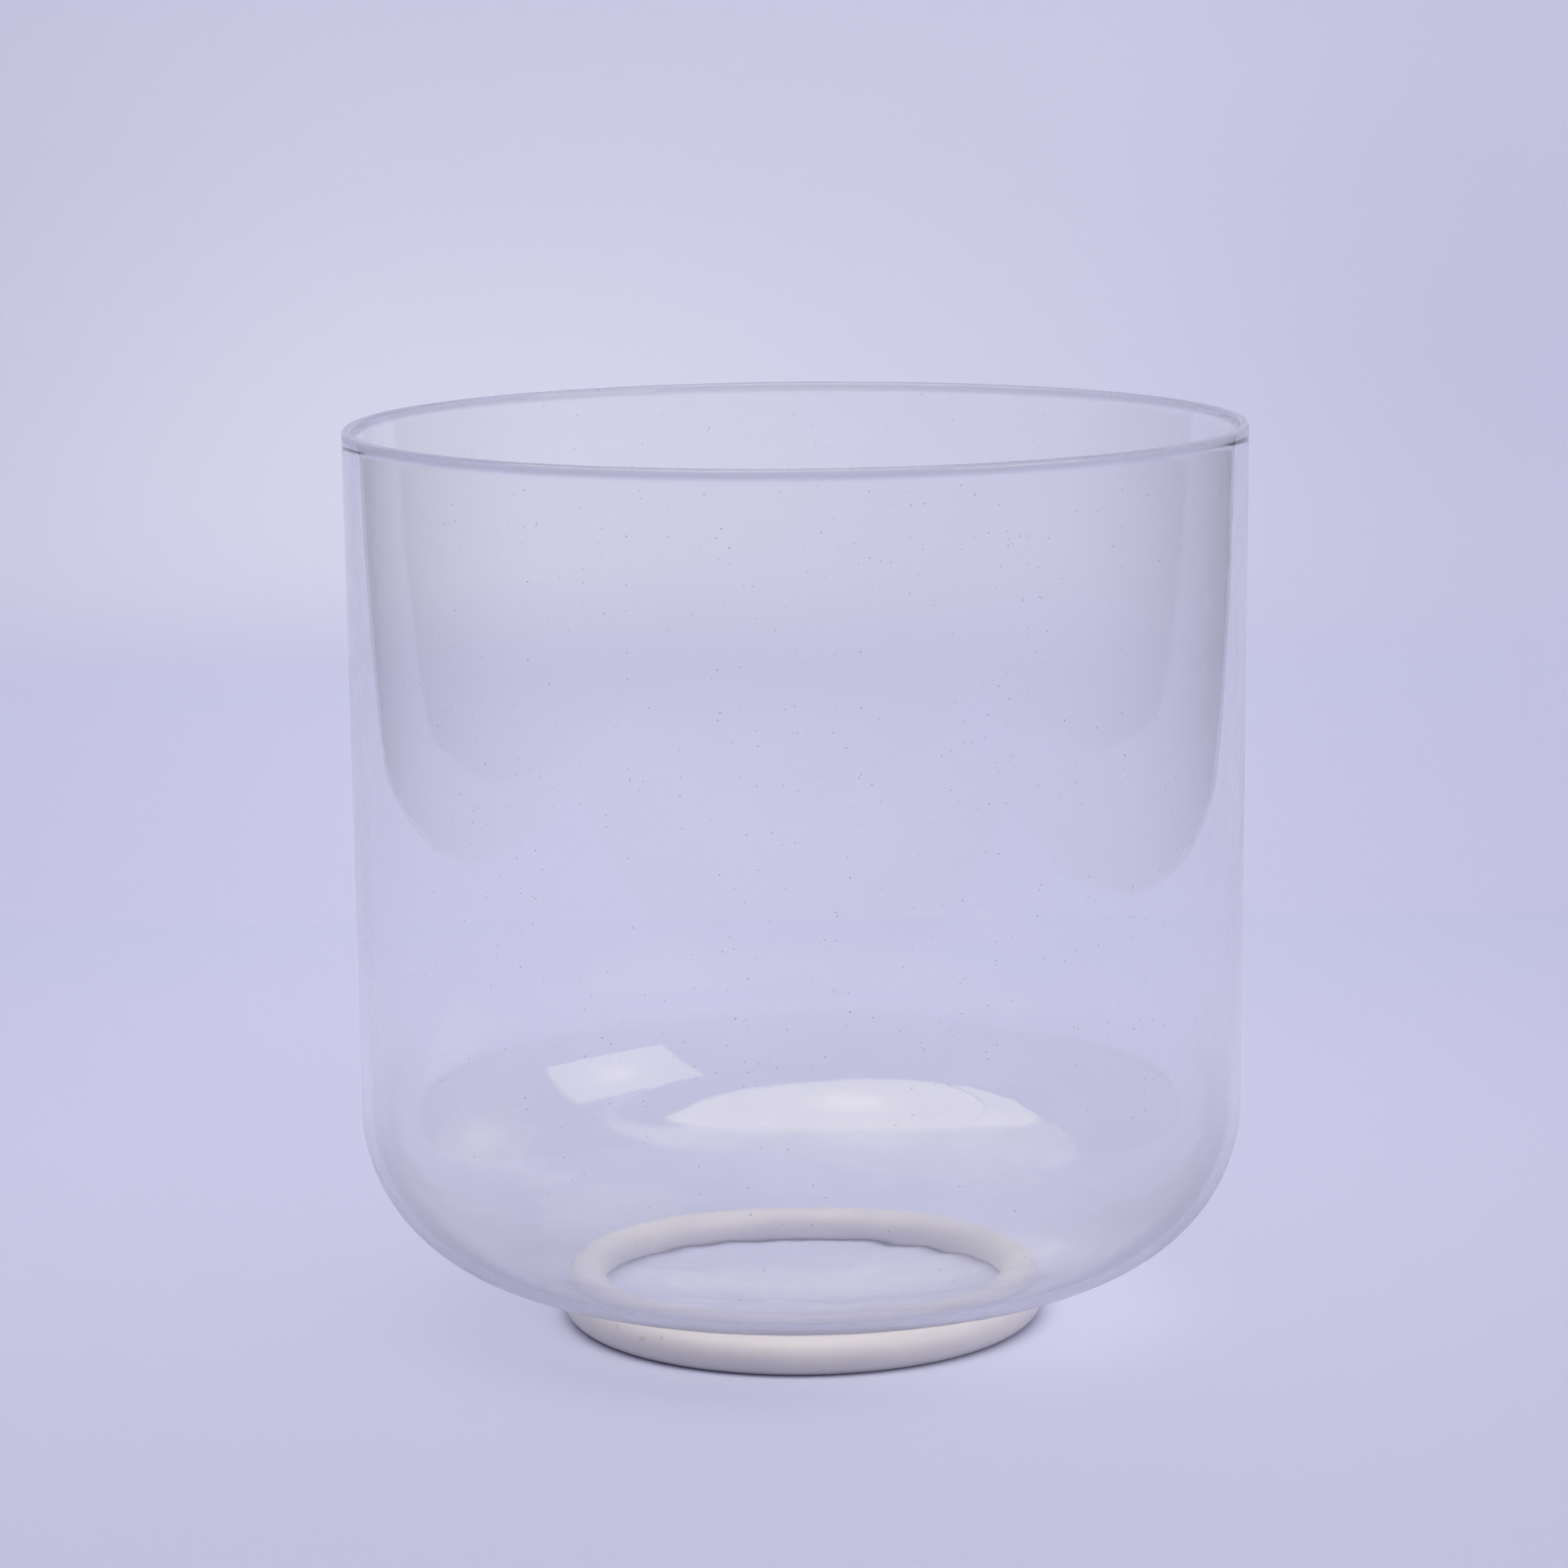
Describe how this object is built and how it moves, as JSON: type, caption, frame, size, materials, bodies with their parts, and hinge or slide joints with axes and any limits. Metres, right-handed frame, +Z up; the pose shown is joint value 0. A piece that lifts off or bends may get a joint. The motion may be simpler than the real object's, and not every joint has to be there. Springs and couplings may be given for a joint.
{
  "type": "glass bowl on a support ring",
  "caption": "Straight-sided clear glass bowl with a rounded corner and a shallow domed bottom, standing loose on a soft round-section ring.",
  "frame": {"origin": "middle of the support ring's flat underside, on the table and on the axis that both pieces are turned about", "axes": "+Z up along that axis, towards the bowl's open rim; X and Y are free, because both pieces are round"},
  "size_m": [0.203, 0.203, 0.2062],
  "materials": {
    "clear_quartz": "clear, fire-polished",
    "cream_silicone": "satin"
  },
  "bodies": {
    "support_ring": {"support_ring": "cream_silicone"},
    "bowl": {"bowl": "clear_quartz"}
  },
  "joints": [
    {"name": "bowl_lift", "type": "slide", "parent": "support_ring", "child": "bowl", "axis": [0, 0, 1], "range_m": [0, 0.06]}
  ]
}
